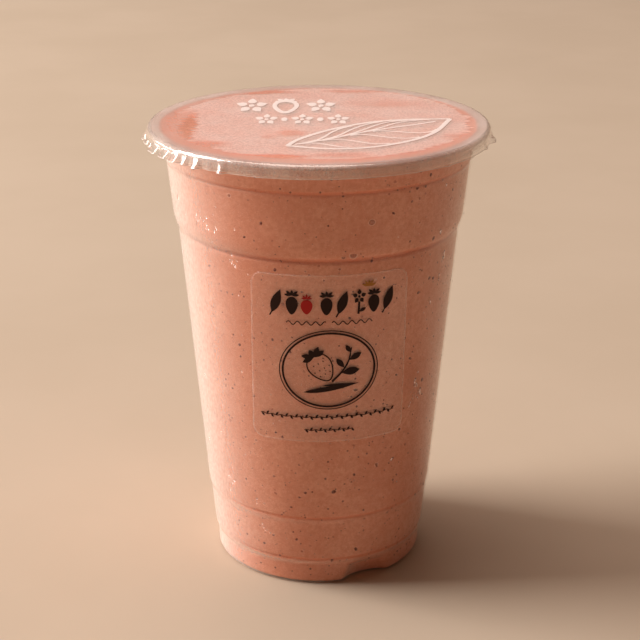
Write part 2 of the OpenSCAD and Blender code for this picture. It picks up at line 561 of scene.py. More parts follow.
def clear_plastic(name, roughness, haze, grain, ior=1.49, mist_and_sheen_share=0.0):
    """Thin clear plastic: light passes straight on, with a fresnel gloss and a fine whitish haze.

    The last argument is the share of fine mist where the wall is seen edge on. The mist thins towards +X,
    away from the key light, which paints a sheen on the lit side.
    """
    s = Shader(name)
    scuffs = s.noise(1300.0, 4.0, 0.7, s.stretched(1, 1, 0.55))
    normal = s.bump(s.maths("ADD", scuffs, s.noise(2600.0, 3.0, 0.6)), grain, 0.5)
    rough = s.ramp(s.noise(140.0), 0.3, 0.7, roughness * 0.8, roughness * 1.3)
    shine = {"Color": (1.0, 0.97, 0.94, 1.0), "Roughness": rough, "Normal": normal}
    gloss = s.add("BsdfGlossy", shine).outputs["BSDF"]
    front = s.maths("SUBTRACT", 1.0, s.add("NewGeometry").outputs["Backfacing"])
    fresnel = s.add("Fresnel", {"IOR": ior, "Normal": normal}).outputs["Fac"]
    milky = {"Color": (0.96, 0.83, 0.77, 1.0), "Normal": normal}
    white = s.add("BsdfDiffuse", milky).outputs["BSDF"]
    cloud = s.ramp(s.times(scuffs, s.noise(60.0, 2.0)), 0.12, 0.5, haze * 0.4, haze * 1.8)
    if mist_and_sheen_share:
        edge_on = s.add("LayerWeight", {"Blend": 0.5}).outputs["Facing"]
        across = s.add("SeparateXYZ", {"Vector": s.here}).outputs["X"]
        # Painted sheen: the mist is thick on the -X side, where the key light falls, and thin towards the
        # shaded +X side
        mist_and_painted_sheen = s.times(s.ramp(scuffs, 0.3, 0.7, 0.75, 1.15), s.ramp(across, 0.030, -0.030, 0.18))
        mist_and_painted_sheen = s.times(mist_and_painted_sheen, s.ramp(edge_on, 0.12, 0.92, 0.0, mist_and_sheen_share))
        cloud = s.maths("ADD", cloud, s.times(mist_and_painted_sheen, front), clamp=True)
    body = s.mixed(cloud, s.see_through(), white)
    return s.done(s.mixed(s.times(fresnel, front), body, gloss))


def water_material(name, roughness, tint):
    """Clear water that bends light, and lets shadow rays straight through."""
    s = Shader(name)
    streaks = s.noise(500.0, 2.0, 0.5, s.stretched(1, 1, 0.3))
    normal = s.bump(streaks, 0.00003, 0.3)
    rough = s.ramp(s.noise(200.0), 0.3, 0.7, roughness, roughness * 2.5)
    solid = s.surface({
        "Base Color": (*tint, 1.0),
        "Transmission Weight": 1.0,
        "IOR": 1.45,
        "Roughness": rough,
        "Normal": normal,
    })
    shadow = s.add("LightPath").outputs["Is Shadow Ray"]
    return s.done(s.mixed(shadow, solid, s.see_through()))


# The drink's colours: its body between pale and deep, pulp, froth, the painted shade along its grooves, and
# its grain
DRINK_PALE = (0.80, 0.350, 0.228)
DRINK_DEEP = (0.71, 0.268, 0.160)
DRINK_PULP = (0.50, 0.10, 0.05)
DRINK_FOAM = (0.88, 0.52, 0.40)
DRINK_GROOVE_SHADE = (0.66, 0.175, 0.075)
DRINK_GRAIN = (0.63, 0.205, 0.110)


def drink_material():
    """Blended strawberry drink: salmon, finely mottled, with pulp, froth and deeper painted shade along its
    grooves.
    """
    s = Shader("strawberry_drink")
    clouds = s.ramp(s.noise(45.0, 4.0, 0.6), 0.35, 0.68)
    fine = s.ramp(s.noise(850.0, 4.0, 0.7), 0.35, 0.66)
    pulp = s.ramp(s.cells(330.0), 0.10, 0.03)
    few = s.ramp(s.noise(260.0, 1.0), 0.52, 0.62)
    foam = s.ramp(s.cells(1300.0), 0.26, 0.06)
    base = s.blend(clouds, DRINK_DEEP, DRINK_PALE)
    base = s.blend(s.times(fine, 0.6), base, DRINK_GRAIN)
    base = s.blend(s.times(s.times(pulp, few), 0.6), base, DRINK_PULP)
    base = s.blend(s.times(foam, 0.45), base, DRINK_FOAM)
    height = s.height(s.here)
    # Painted shade: darker, deeper lines along the grooves, where the wall's steps shade the drink
    groove_shade = 0.0
    for at, _, half in GROOVES:
        off = s.maths("ABSOLUTE", s.maths("SUBTRACT", height, (at + 0.1) * MM))
        groove_shade = s.maths("ADD", groove_shade, s.ramp(off, half * 1.7 * MM, half * 0.3 * MM))
    base = s.blend(s.times(groove_shade, 0.75), base, DRINK_GROOVE_SHADE)
    relief = s.maths("ADD", s.noise(900.0, 4.0, 0.65), s.times(foam, -0.6))
    return s.done(s.surface({
        "Base Color": base,
        "Roughness": s.ramp(fine, 0, 1, 0.45, 0.62),
        "Specular IOR Level": 0.2,
        "Subsurface Weight": 0.10,
        "Subsurface Radius": (1.0, 0.45, 0.25),
        "Subsurface Scale": 0.003,
        "Normal": s.bump(relief, 0.00012, 0.5),
    }))


def speckled(name, dark, light, scale, roughness):
    """An opaque matt finish that wanders between two colours."""
    s = Shader(name)
    mottle = s.noise(scale, 3.0)
    return s.done(s.surface({
        "Base Color": s.blend(s.ramp(mottle, 0.35, 0.65), dark, light),
        "Roughness": s.ramp(mottle, 0.3, 0.7, roughness * 0.85, roughness * 1.15),
        "Specular IOR Level": 0.4,
        "Normal": s.bump(s.noise(scale * 4, 3.0), 0.00002, 0.4),
    }))


def ink_material(name, colour, worn):
    """Printed ink with faint mottling, and specks where a little of it has rubbed off."""
    s = Shader(name)
    mottle = s.noise(1500.0, 4.0, 0.7)
    rubbed = s.ramp(s.noise(520.0, 5.0, 0.75), 0.66, 0.76, 0.0, 0.48)
    tone = s.blend(s.times(mottle, 0.25), colour, worn)
    return s.done(s.surface({
        "Base Color": s.blend(rubbed, tone, worn),
        "Roughness": s.ramp(mottle, 0.3, 0.7, 0.4, 0.6),
        "Specular IOR Level": 0.15,
        "Normal": s.bump(mottle, 0.00002, 0.3),
    }))


# Wetted or wiped patches of the film: centre, radii, softness, and the share of condensation left in them
FILM_PATCHES = (
    (-41, -8, 6.6, 23, 0.34, 0.45), (-35.6, -6, 1.8, 16, 0.55, 0.05),
    (-21, 36.5, 13, 2.8, 0.40, 0.25), (-14, -38.5, 11, 2.6, 0.45, 0.2),
    (-31, -26, 6, 4, 0.5, 0.35), (-7.8, -13.7, 3.6, 3.4, 0.6, 0.45),
    (-13, -18, 2, 2, 0.7, 0.6), (19, 21, 9, 4, 0.8, 0.65),
    (38, -17, 4.5, 3, 0.6, 0.5), (10, 37.5, 9, 2, 0.5, 0.5),
    (6, -37, 7, 2.2, 0.6, 0.6),
)
# The ovals inside which the film is frosted and outside which it is paler near the rim, in the same form
FROSTED = (0.4, 0.3, 41.2, 41.0, 0.012)
PALER_RIM_RING = (0.4, 0.3, 41.4, 41.2, 0.012)
# How much of the film condensation covers at most, the added cover of the paler ring near the rim, the haze
# everywhere, and the share of them all that stops the light on its way to the drink
FROST_COVER = 0.86
RING_COVER = 0.30
CLEAR_COVER = 0.05
FROST_SHADE = 0.3


def frost_material():
    """The film's underside: fine condensation, wiped or wetted through in patches, thinner near the rim."""
    s = Shader("film_frost")
    where = flat = s.vector("MULTIPLY", s.here, (1.0, 1.0, 0.0))
    wander = {"Vector": flat, "Scale": 90.0, "Detail": 4.0, "Roughness": 0.65}
    streaks = {"Vector": s.stretched(60.0, 620.0, 0.0), "Scale": 1.0, "Detail": 3.0}
    for noise, reach in ((wander, (0.004, 0.004, 0.0)), (streaks, (0.008, 0.0008, 0.0))):
        colour = s.add("TexNoise", noise).outputs["Color"]
        offset = s.vector("SUBTRACT", colour, (0.5, 0.5, 0.5))
        where = s.vector("ADD", where, s.vector("MULTIPLY", offset, reach))

    def away(x, y, rx, ry, soft, least=0.0):
        """1 outside an oval patch, and least inside it."""
        shift = s.vector("SUBTRACT", where, (x * MM, y * MM, 0))
        scaled = s.vector("MULTIPLY", shift, (1 / (rx * MM), 1 / (ry * MM), 0))
        length = s.add("VectorMath", {0: scaled}, operation="LENGTH").outputs["Value"]
        return s.ramp(length, 1 - soft, 1 + soft, least)

    covered = s.maths("SUBTRACT", 1.0, away(*FROSTED))
    for patch in FILM_PATCHES:
        covered = s.times(covered, away(*patch))
    grain = s.ramp(s.noise(1700.0, 4.0, 0.75), 0.33, 0.66, 0.55, 1.0)
    cover = s.times(s.times(covered, grain), FROST_COVER)
    ring = s.times(away(*PALER_RIM_RING), RING_COVER)
    cover = s.maths("ADD", s.maths("ADD", cover, ring), CLEAR_COVER)
    shadow = s.add("LightPath").outputs["Is Shadow Ray"]
    cover = s.times(cover, s.ramp(shadow, 0.0, 1.0, 1.0, FROST_SHADE))
    tone = s.blend(s.ramp(s.noise(120.0, 3.0), 0.3, 0.7), (0.94, 0.69, 0.61), (0.97, 0.79, 0.72))
    white = s.surface({
        "Base Color": tone,
        "Roughness": 0.55,
        "Specular IOR Level": 0.3,
        "Normal": s.bump(s.noise(3000.0, 3.0, 0.6), 0.00006, 0.6),
    })
    return s.done(s.mixed(cover, s.see_through(), white))


# ---- cup and drink

SEGMENTS = 256


def make_cup():
    """The cup's thin wall, with the notches pressed into its foot and a cloudier rim."""
    wall, rim, rim_side = range(3)
    bm = lathed(cup_section(), polar, SEGMENTS)
    for v in bm.verts:
        r = hypot(v.co.x, v.co.y)
        if r > STAND_R and v.co.z < FOOT_H + WALL_T:
            azimuth = degrees(atan2(v.co.x, -v.co.y))
            inside = r < wall_at(v.co.z) - WALL_T / 2 and v.co.z > WALL_T / 2
            pressed = notched(r, azimuth, v.co.z, WALL_T if inside else 0.0)
            v.co.x *= pressed / r
            v.co.y *= pressed / r
    for face in bm.faces:
        middle = face.calc_center_median()
        if middle.z > FLARE_Z - FLARE_R and hypot(middle.x, middle.y) > NECK_R + 0.3:
            face.material_index = rim if middle.z > CUP_H - RIM_ROUND else rim_side
        else:
            face.material_index = wall
    finishes = [
        clear_plastic("clear_cup_wall", 0.2, 0.006, 0.00002, mist_and_sheen_share=0.74),
        clear_plastic("clear_cup_rim", 0.08, 0.42, 0.00001),
        clear_plastic("clear_cup_rim_side", 0.08, 0.22, 0.00001),
    ]
    cup = placed("clear_cup", from_bmesh(bm), finishes)
    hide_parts("cup")


def make_drink():
    """The drink, from just inside the wall to its flat top."""

    def place(r, azimuth, z):
        return polar(notched(r, azimuth, z, DRINK_INSET), azimuth, z)

    bm = lathed(drink_section(), place, SEGMENTS)
    drink = placed("strawberry_drink", from_bmesh(bm), drink_material())
    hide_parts("smoothie")


def rough_ball(rng, subdivisions, low, high):
    """A small uneven ball, its radius between low and high."""
    verts, faces = ball(subdivisions)
    rough = np.array([rng.uniform(low, high) for _ in verts])
    return verts * rough[:, None], faces


def chance_size(rng, middle, spread, most):
    """A size by chance: mostly near the middle one, seldom much larger."""
    return min(middle * exp(rng.gauss(0.0, spread)), most)


def drink_at(azimuth, z, inset=DRINK_INSET):
    """Radius of the drink's side, or of another surface the same way inside the cup's outer one."""
    return notched(wall_at(z, inset), azimuth, z, inset)


def make_seed_specks(side=2000, top=150):
    """Specks of seed and skin that show in the drink's side, fewer of them near the rim, and in its top."""
    rng = random.Random(11)
    shape = rough_ball(rng, 1, 0.75, 1.2)
    frames = []
    while len(frames) < side:
        azimuth = rng.uniform(-180, 180)
        z = rng.uniform(1.6, FLARE_Z)
        size = chance_size(rng, 0.17, 0.5, 0.6)
        if z > 100 and rng.random() < 0.35:
            continue
        sizes = (size * rng.uniform(0.8, 1.5), size * rng.uniform(0.7, 1.2), 0.09)
        frames.append(on_wall(azimuth, z, drink_at(azimuth, z), sizes, rng.uniform(0, tau)))
    for _ in range(top):
        r = (MOUTH_R - 3.5) * sqrt(rng.uniform(0.02, 1))
        azimuth = rng.uniform(-180, 180)
        size = chance_size(rng, 0.16, 0.5, 0.6)
        turn = np.diag((size * rng.uniform(0.8, 1.5), size, 0.05))
        frames.append((turn, np.array(polar(r, azimuth, DRINK_TOP - TOP_DIP + 0.02))))
    material = speckled("seed_speck", (0.13, 0.016, 0.006), (0.24, 0.045, 0.016), 1500.0, 0.6)
    placed("seed_specks", scattered(shape, frames), material)


def make_pulp_flecks(count=420):
    """Soft reddish flecks of fruit pulp, larger and paler than the seeds."""
    rng = random.Random(23)
    shape = rough_ball(rng, 2, 0.8, 1.15)
    frames = []
    for _ in range(count):
        azimuth = rng.uniform(-180, 180)
        z = rng.uniform(2, FLARE_Z - 1)
        size = chance_size(rng, 0.26, 0.4, 0.8)
        sizes = (size * rng.uniform(0.8, 1.4), size * rng.uniform(0.7, 1.1), 0.06)
        frames.append(on_wall(azimuth, z, drink_at(azimuth, z) - 0.02, sizes, rng.uniform(0, tau)))
    material = speckled("pulp_fleck", (0.42, 0.10, 0.05), (0.56, 0.17, 0.09), 900.0, 0.5)
    placed("pulp_flecks", scattered(shape, frames), material)


def ring_template(n=20, m=6, thick=0.15):
    """Vertices and faces of a ring of radius 1 with a round section."""
    verts = []
    faces = []
    for i in range(n):
        a = tau * i / n
        for j in range(m):
            b = tau * j / m
            r = 1 + thick * cos(b)
            verts.append((r * cos(a), r * sin(a), thick * sin(b)))
            k = (j + 1) % m
            faces.append([i * m + j, (i + 1) % n * m + j, (i + 1) % n * m + k, i * m + k])
    return np.array(verts), faces


# Larger bubbles against the wall: azimuth, height, radius
BUBBLES = (
    (12.9, 102.9, 1.05), (9.2, 102.4, 0.6), (19.4, 111.8, 0.95), (8, 98.9, 0.45), (-33.7, 117.8, 0.6),
    (28.2, 38, 0.6), (-62, 44, 0.8), (120, 96, 1), (-150, 70, 0.9), (176, 110, 0.8),
)


def make_wall_bubbles(small=110):
    """Air bubbles trapped against the wall: a pale ring of froth round a dark middle, which is painted
    shade.
    """
    rng = random.Random(5)
    spots = [*BUBBLES]
    for _ in range(small):
        spots.append((rng.uniform(-180, 180), rng.uniform(8, FLARE_Z - 2), rng.uniform(0.14, 0.42)))
    rings = []
    shaded_hollows = []
    for azimuth, z, size in spots:
        r = drink_at(azimuth, z, DRINK_INSET - 0.02)
        rings.append(on_wall(azimuth, z, r, (size, size * 0.92, 0.16)))
        shaded_hollows.append(on_wall(azimuth, z, r, (size, size * 0.92, 0.05)))
    froth = speckled("bubble_froth", (0.78, 0.35, 0.23), (0.84, 0.43, 0.31), 1200.0, 0.35)
    # Painted shade: the dark middle of each bubble, where the air pocket lies in shade
    hollow_shade = speckled("bubble_hollow_painted_shade", (0.40, 0.11, 0.055), (0.50, 0.16, 0.085), 900.0, 0.3)
    placed("bubble_rings", scattered(ring_template(), rings), froth)
    placed("bubble_hollows_painted_shade", scattered(ball(2, 0.85), shaded_hollows), hollow_shade)


# Clusters of fine droplets on the cup: azimuth, height, spread round and up, how many
DEW_CLUSTERS = (
    (-43.1, 107.5, 3.5, 3, 9), (-35.5, 99.3, 3, 2.5, 8), (-51.3, 107.3, 4, 4, 8),
    (-31.3, 26.1, 2.5, 2, 6), (-27, 16.6, 2.5, 2, 6), (-49.3, 30.1, 2.5, 4, 8),
    (47.5, 56.8, 2.5, 6, 12), (60, 92, 3, 8, 10), (110, 40, 6, 8, 16),
    (-120, 80, 6, 9, 18), (165, 60, 7, 12, 20), (-165, 105, 6, 5, 14),
)
# Runs of water: azimuth, height, how many times as long as wide
DEW_RUNS = (
    (60, 96.5, 3.6), (52, 57, 3.2), (47.5, 61, 2.8), (-66, 112, 3),
    (100, 70, 4), (-100, 50, 3.5), (150, 88, 4), (-140, 30, 3),
)


def make_dew(count=330):
    """Condensation on the outside: small domes of water, and a few long runs."""
    rng = random.Random(31)
    verts, faces = ball(2)
    verts = verts * np.where(verts[:, 2:3] < 0, (1.0, 1.0, 0.12), (1.0, 1.0, 1.0))
    frames = []

    def drop(azimuth, z, size, length=1.0, lean=0.0):
        beside = abs(turned(azimuth - LABEL_TURN))
        on_label = beside < LABEL_HALF_TURN and LABEL_LOW_Z - 1 < z < LABEL_HIGH_Z + 1
        r = drink_at(azimuth, z, 0.0) + (LABEL_STAND if on_label else 0.0)
        frames.append(on_wall(azimuth, z, r, (size, size * length, size * 0.42), lean))

    for _ in range(count):
        azimuth, z = rng.uniform(-180, 180), rng.uniform(6, 124)
        drop(azimuth, z, chance_size(rng, 0.16, 0.45, 0.55), rng.uniform(0.9, 1.4))
    for azimuth, z, wide, tall, many in DEW_CLUSTERS:
        for _ in range(many):
            across = degrees(rng.gauss(0, wide * 0.5) / wall_at(z))
            up = rng.gauss(0, tall * 0.5)
            size, length = rng.uniform(0.12, 0.36), rng.uniform(0.9, 1.7)
            drop(azimuth + across, z + up, size, length, rng.gauss(0, 0.2))
    for azimuth, z, length in DEW_RUNS:
        drop(azimuth, z, 0.42, length, rng.gauss(0, 0.08))
    water = water_material("dew_water", 0.01, (1.0, 0.99, 0.98))
    placed("dew_drops", scattered((verts, faces), frames), water)


# ---- film

FILM_SEGMENTS = 720
FILM_T = 0.07
# How far the film stands off the rim's rounding, and its hem off the rim's side
FILM_SLACK = 0.11
HEM_STAND = 0.30
# How far the hem waves up, and how far the skirt ripples out
HEM_WAVE = 0.14
RIPPLE = 0.05
# The film keeps this far inside its CAD box
BOX_MARGIN = 0.02
# Radii of the rings of points in the film's flat top
FILM_RINGS = (0, 8, 16, 24, 31, 36, 39.5, 41.5, 43, 44.5, 45.6)
# How far down the skirt its rings of points are
SKIRT_SHARES = (0.1, 0.2, 0.3, 0.4, 0.5, 0.6, 0.7, 0.8, 0.88, 0.94, 1.0)
# Folds in the skirt: azimuth, half width in degrees, how far they stand out, how far down they start
PLEATS = (
    (-84, 3.4, 1.1, 0.1), (-77, 3.4, 0.9, 0.3), (-71.5, 1.6, 0.6, 0.1), (-65.5, 4.4, 1.35, 0),
    (-57.6, 3.4, 1.25, 0), (-51.4, 2.7, 1.35, 0), (-46.6, 1.6, 1, 0.1), (-41, 1.9, 1.3, 0),
    (-35.6, 1.4, 0.25, 0.2), (-31, 1.6, 1.2, 0), (-18, 2, 0.15, 0.3), (-5.4, 0.9, 0.6, 0.3),
    (14, 1.8, 0.1, 0.4), (31, 1.2, 0.3, 0.2), (44, 1.6, 0.4, 0.3), (57, 1.2, 0.5, 0.2),
    (69, 1.6, 0.5, 0.3), (80, 4.2, 1.25, 0.25), (89, 1.8, 0.4, 0.4), (101, 1.4, 0.3, 0.3),
    (118, 1.8, 0.45, 0.2), (136, 1.2, 0.6, 0.25), (152, 1.8, 0.2, 0.4), (177, 1.6, 0.08, 0.4),
    (-161, 1.4, 0.2, 0.3), (-143, 1.6, 0.5, 0.25), (-127, 1.2, 0.6, 0.2), (-112, 1.7, 0.5, 0.3),
    (-98, 1.6, 0.4, 0.3),
)


def pleat(azimuth, down):
    """How far the skirt is pushed out by its folds, at a share of the way down it."""
    out = 0.0
    for turn, wide, stands, start in PLEATS:
        off = abs(turned(azimuth - turn)) / wide
        if off < 1:
            out += stands * smoothstep(1.0, 0.5, off) * smoothstep(start - 0.1, 1.5, down) * 1.6
    ripple = RIPPLE * sin(radians(azimuth * 23)) * sin(radians(azimuth * 7 + 40))
    return out + (ripple + RIPPLE) * down


def film_section(t):
    """The film from the axis to its hem, t inside its outer surface, as (r, z, share of the way down)."""
    top = [(r, FILM_TOP - INK_T - t, 0.0) for r in FILM_RINGS]
    over = RIM_ROUND + FILM_SLACK - t
    rounding = arc(FLAT_R, CUP_H - RIM_ROUND, over, 90, 0, 9)
    turn = [(r, z, n / 60) for n, (r, z, _) in enumerate(rounding)]
    low_r = RIM_R + HEM_STAND - t
    drop = CUP_H - RIM_ROUND - FILM_LOW_Z
    skirt = []
    for share in SKIRT_SHARES:
        r = (FLAT_R + over) * (1 - share) + low_r * share
        skirt.append((r, CUP_H - RIM_ROUND - drop * share, 0.15 + 0.85 * share))
    return top + turn + skirt


def make_film():
    """The film: a flat top whose underside is frosted, and a folded skirt with a cut hem."""
    skirt, frost, hem, top = range(4)
    outer = film_section(0.0)
    inner = film_section(FILM_T)[::-1]

    bm = bmesh.new()

    def ring(point, inset):
        """A ring of vertices, drawn in where a fold would leave the CAD box."""
        r, z, down = point
        limit_x = film_high.x / MM - BOX_MARGIN - inset
        limit_y = film_high.y / MM - BOX_MARGIN - inset
        if r == 0:
            return [bm.verts.new((0, 0, z))]
        made = []
        for k in range(FILM_SEGMENTS):
            azimuth = 360 * k / FILM_SEGMENTS
            out = r + (pleat(azimuth, down) if down > 0 else 0.0)
            wave = HEM_WAVE * max(0.0, down - 0.6) * (sin(radians(azimuth * 5)) + 1)
            p = polar(out, azimuth, z + wave)
            shrink = min(1.0, limit_x / max(abs(p.x), 1e-6), limit_y / max(abs(p.y), 1e-6))
            made.append(bm.verts.new((p.x * shrink, p.y * shrink, p.z)))
        return made

    rings = [ring(p, 0.0) for p in outer] + [ring(p, FILM_T) for p in inner]
    for n, (a, b) in enumerate(zip(rings, rings[1:])):
        finish = skirt
        if n >= len(outer) and outer[len(rings) - 2 - n][2] == 0:
            finish = frost
        elif abs(n - len(outer) + 1) < 2:
            finish = hem
        elif n < len(outer) - 1 and outer[n + 1][2] == 0:
            finish = top
        joined(bm, a, b, FILM_SEGMENTS, finish)
    finishes = [
        clear_plastic("sealing_film_skirt", 0.10, 0.12, 0.00001, 1.85),
        frost_material(),
        clear_plastic("sealing_film_edge", 0.25, 0.88, 0.00002, 1.8),
        clear_plastic("sealing_film_flat", 0.14, 0.03, 0.00001, 1.38),
    ]
    film = placed("sealing_film", from_bmesh(bm), finishes)
    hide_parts("film")


def blossom(u, v, ru, rv):
    """Five filled petals round a dot. ru and rv are its radii across and up."""
    petal = leaf(0.30, 0, 0.72, 0.56, 0, 8, 0.72)
    loops = []
    for k in range(5):
        loops.append([(u + x * ru, v + y * rv) for x, y in spun(petal, 0, 0, 72 * k + 18)])
    return loops + [oval(u, v, ru * 0.18, rv * 0.18, 12)]


def strawberry(u, v, wide, tall, line, seeds=True):
    """A strawberry in outline with its leafy cap filled in. (u, v) is its middle."""
    loops = stroke(heart(u, v, wide, tall, 34), line, closed=True)
    cap = [(angle, wide * (0.34 if angle == 90 else 0.46)) for angle in (90, 38, 142, 5, 175)]
    loops += leaves(u, v + tall * 0.42, cap, wide * 0.2)
    for row, many in ((0.16, 3), (-0.06, 4), (-0.25, 3)) if seeds else ():
        for k in range(many):
            across = (k - (many - 1) / 2) * wide * 0.2
            loops.append(oval(u + across, v + tall * row, line * 0.42, line * 0.7, 8))
    return loops


def between(a, b, start, stop, low, high, n=18):
    """A line along two others, from share start to stop of them, easing across from a to b, low to high."""
    line = []
    for k in range(n + 1):
        t = k / n
        along = (start + (stop - start) * t) * (len(a) - 1)
        i = min(int(along), len(a) - 2)
        f = along - i
        side = low + (high - low) * smoothstep(0, 1, t)
        on_a, on_b = (np.array(p[i]) * (1 - f) + np.array(p[i + 1]) * f for p in (a, b))
        line.append(tuple(on_a * (1 - side) + on_b * side))
    return line


def make_film_print():
    """White line drawing on the film: two rows of garden shapes and one large leaf."""
    line = 1.35
    berry = strawberry(0, -0.6, 7.2, 7.6, line, seeds=False)
    loops = blossom(-19.4, 18.6, 4.7, 8.8)
    loops += [[(x - 9.6, y * 1.9 + 18.4) for x, y in loop] for loop in berry]
    loops += blossom(0.6, 18.6, 4.4, 8.4)
    for u in (-14.6, -4.6, 5.4):
        loops += blossom(u, 1.8, 3.3, 6.2)
    for u in (-9.6, 0.4):
        loops.append(oval(u, 1.8, 0.9, 2.2, 16))

    base = (-8.3, -27.6)
    tip = (36.6, 2.3)
    upper = curve([base, (-5.0, -20.3), (3.0, -10.4), (14.1, -1.9), (24.0, 1.2), tip])
    lower = curve([base, (2.9, -30.7), (13.3, -29.2), (24.0, -22.4), (31.2, -13.0), tip])
    middle = curve([base, (2.4, -20.6), (12.0, -13.0), (20.0, -8.0), (28.0, -3.6), tip])
    loops += stroke(upper, line)
    loops += stroke(lower, line)
    loops += stroke(between(middle, middle, 0.06, 0.90, 0, 0, 30), line * 0.75)
    veins = (
        (upper, ((0.04, 0.50, 0.92), (0.16, 0.66, 0.9), (0.28, 0.80, 0.88), (0.42, 0.90, 0.8))),
        (lower, ((0.05, 0.30, 0.90), (0.17, 0.50, 0.92), (0.32, 0.68, 0.92), (0.46, 0.84, 0.90))),
    )
    for edge, reaches in veins:
        for start, stop, high in reaches:
            loops += stroke(between(middle, edge, start, stop, 0.06, high), line * 0.6)

    def place(u, v, h):
        return Vector((u, v, FILM_TOP - INK_T + h))

    ink = ink_material("film_print_white", (0.90, 0.78, 0.73), (0.88, 0.68, 0.61))
    placed("film_print", inked(loops, place, 0), ink, smooth=False)


# ---- label and its print

LABEL_MID_Z = (LABEL_LOW_Z + LABEL_HIGH_Z) / 2
LABEL_T = 0.12
# How far the label's face stands off the wall
LABEL_RISE = 0.18
# How far in from the label's edge its border rows lie, and how far each is lifted
LABEL_INSETS = (0.0, 0.12, 0.45, 0.7)
BORDER_LIFTS = (-0.03, 0.012, 0.004, 0.0)


def wrapped(u, v, h):
    """A point of the label: u round the cup and v up from the label's middle, and h off its face."""
    z = LABEL_MID_Z + v
    r = wall_at(z)
    return polar(r + LABEL_RISE + h, LABEL_TURN + degrees(u / r), z)


def make_label():
    """The clear label: a thin curved sheet with round corners and a slightly raised, whiter edge."""
    sheet, border_edge, glue = range(3)
    half_w, half_h = LABEL_W / 2, (LABEL_HIGH_Z - LABEL_LOW_Z) / 2
    bm = bmesh.new()

    def at(u, v):
        """Square grid coordinates, -1..1, eased on to a rectangle with round corners."""
        x, y = u * half_w, v * half_h
        over_x = max(0.0, abs(x) - (half_w - LABEL_ROUND))
        over_y = max(0.0, abs(y) - (half_h - LABEL_ROUND))
        if over_x and over_y:
            far = max(over_x, over_y)
            pull = far / hypot(over_x, over_y)
            x -= copysign(over_x * (1 - pull), x)
            y -= copysign(over_y * (1 - pull), y)
        return x, y

    def shares(count, half):
        """Grid lines from -1 to 1: the border rows at both ends, evenly spaced ones between."""
        edge = [1 - i / half for i in LABEL_INSETS]
        return [-e for e in edge] + list(np.linspace(-edge[-1], edge[-1], count))[1:-1] + edge[::-1]

    us, vs = shares(56, half_w), shares(40, half_h)
    rng = random.Random(3)
    lifts = [rng.uniform(-0.012, 0.02) for _ in range(24)]
    top, low = {}, {}
    for i, u in enumerate(us):
        for j, v in enumerate(vs):
            x, y = at(u, v)
            border = min(i, j, len(us) - 1 - i, len(vs) - 1 - j)
            lift = BORDER_LIFTS[min(border, 3)]
            lift += lifts[(i + j) % len(lifts)] if border < 2 else 0.0
            top[i, j] = bm.verts.new(wrapped(x, y, lift))
            low[i, j] = bm.verts.new(wrapped(x, y, -LABEL_T))
    last_i, last_j = len(us) - 1, len(vs) - 1
    for i in range(last_i):
        for j in range(last_j):
            border = min(i, j, last_i - 1 - i, last_j - 1 - j)
            cell = [(i, j), (i + 1, j), (i + 1, j + 1), (i, j + 1)]
            finish = border_edge if border < 2 else sheet
            bm.faces.new([top[corner] for corner in cell]).material_index = finish
            bm.faces.new([low[corner] for corner in (cell[0], *cell[:0:-1])]).material_index = glue
    loop = [(i, 0) for i in range(last_i)] + [(last_i, j) for j in range(last_j)]
    loop += [(i, last_j) for i in range(last_i, 0, -1)] + [(0, j) for j in range(last_j, 0, -1)]
    for a, b in zip(loop, loop[1:] + loop[:1]):
        bm.faces.new([low[a], low[b], top[b], top[a]]).material_index = border_edge
    finishes = [
        clear_plastic("label_sheet", 0.16, 0.03, 0.00002),
        clear_plastic("label_edge", 0.2, 0.20, 0.00004),
        clear_plastic("label_glue", 0.3, 0.004, 0.00001, 1.02),
    ]
    label = placed("clear_label", from_bmesh(bm), finishes)
    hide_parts("label")


def heart(u, v, wide, tall, n=26):
    """A strawberry's rounded, tapering body. (u, v) is its middle."""
    loop = []
    for k in range(n):
        a = tau * k / n
        drop = (1 - sin(a)) / 2
        loop.append((u + wide / 2 * cos(a) * (1 - 0.42 * drop**1.6), v + tall / 2 * sin(a)))
    return loop


def bold_berry(u, v, height):
    """A filled strawberry standing at (u, v), its cap set off by a thin gap."""
    cap = [(angle, height * (0.22 if angle == 90 else 0.28)) for angle in (90, 40, 140, 8, 172)]
    body = heart(u, v + height * 0.36, height * 0.5, height * 0.70)
    return [body, *leaves(u, v + height * 0.755, cap, height * 0.1)]


def bold_row(u, v, height, kinds, step):
    """A bold row of dark garden shapes, each as tall as the row, where a name would be."""
    loops = []
    for n, kind in enumerate(kinds):
        c = u + step * n
        if kind == "leaf":
            foot = (c - height * 0.16, v + height * 0.04)
            stalk = [(c - height * 0.24, v - height * 0.08), (c - height * 0.1, v + height * 0.2)]
            loops.append(leaf(*foot, height * 0.98, height * 0.36, 71, belly=0.9))
            loops += stroke(stalk, 0.4)
        elif kind == "berry":
            loops += bold_berry(c, v, height)
        else:
            loops += stroke([(c, v), (c + 0.15, v + height * 0.5)], height * 0.08)
            loops += blossom(c + 0.15, v + height * 0.70, height * 0.27, height * 0.29)
            loops.append(leaf(c, v + height * 0.08, height * 0.32, height * 0.14, 28))
    return loops


def vine(left, right, v, height):
    """A thin winding stem with small leaves on both sides, where a line of small print would be."""
    step = height * 0.55
    count = int((right - left) / step)
    waves = [0.5 + 0.07 * sin(k * 0.8) for k in range(count * 4 - 1)]
    stem = [(left + step * k / 4, v + height * wave) for k, wave in enumerate(waves)]
    loops = stroke(stem, height * 0.10)
    for k, (u, foot) in enumerate(stem[1::4]):
        side = 1 if k % 2 else -1
        foot += side * height * 0.03
        loops.append(leaf(u, foot, height * 0.5, height * 0.24, side * 50, 6, 0.9))
    return loops


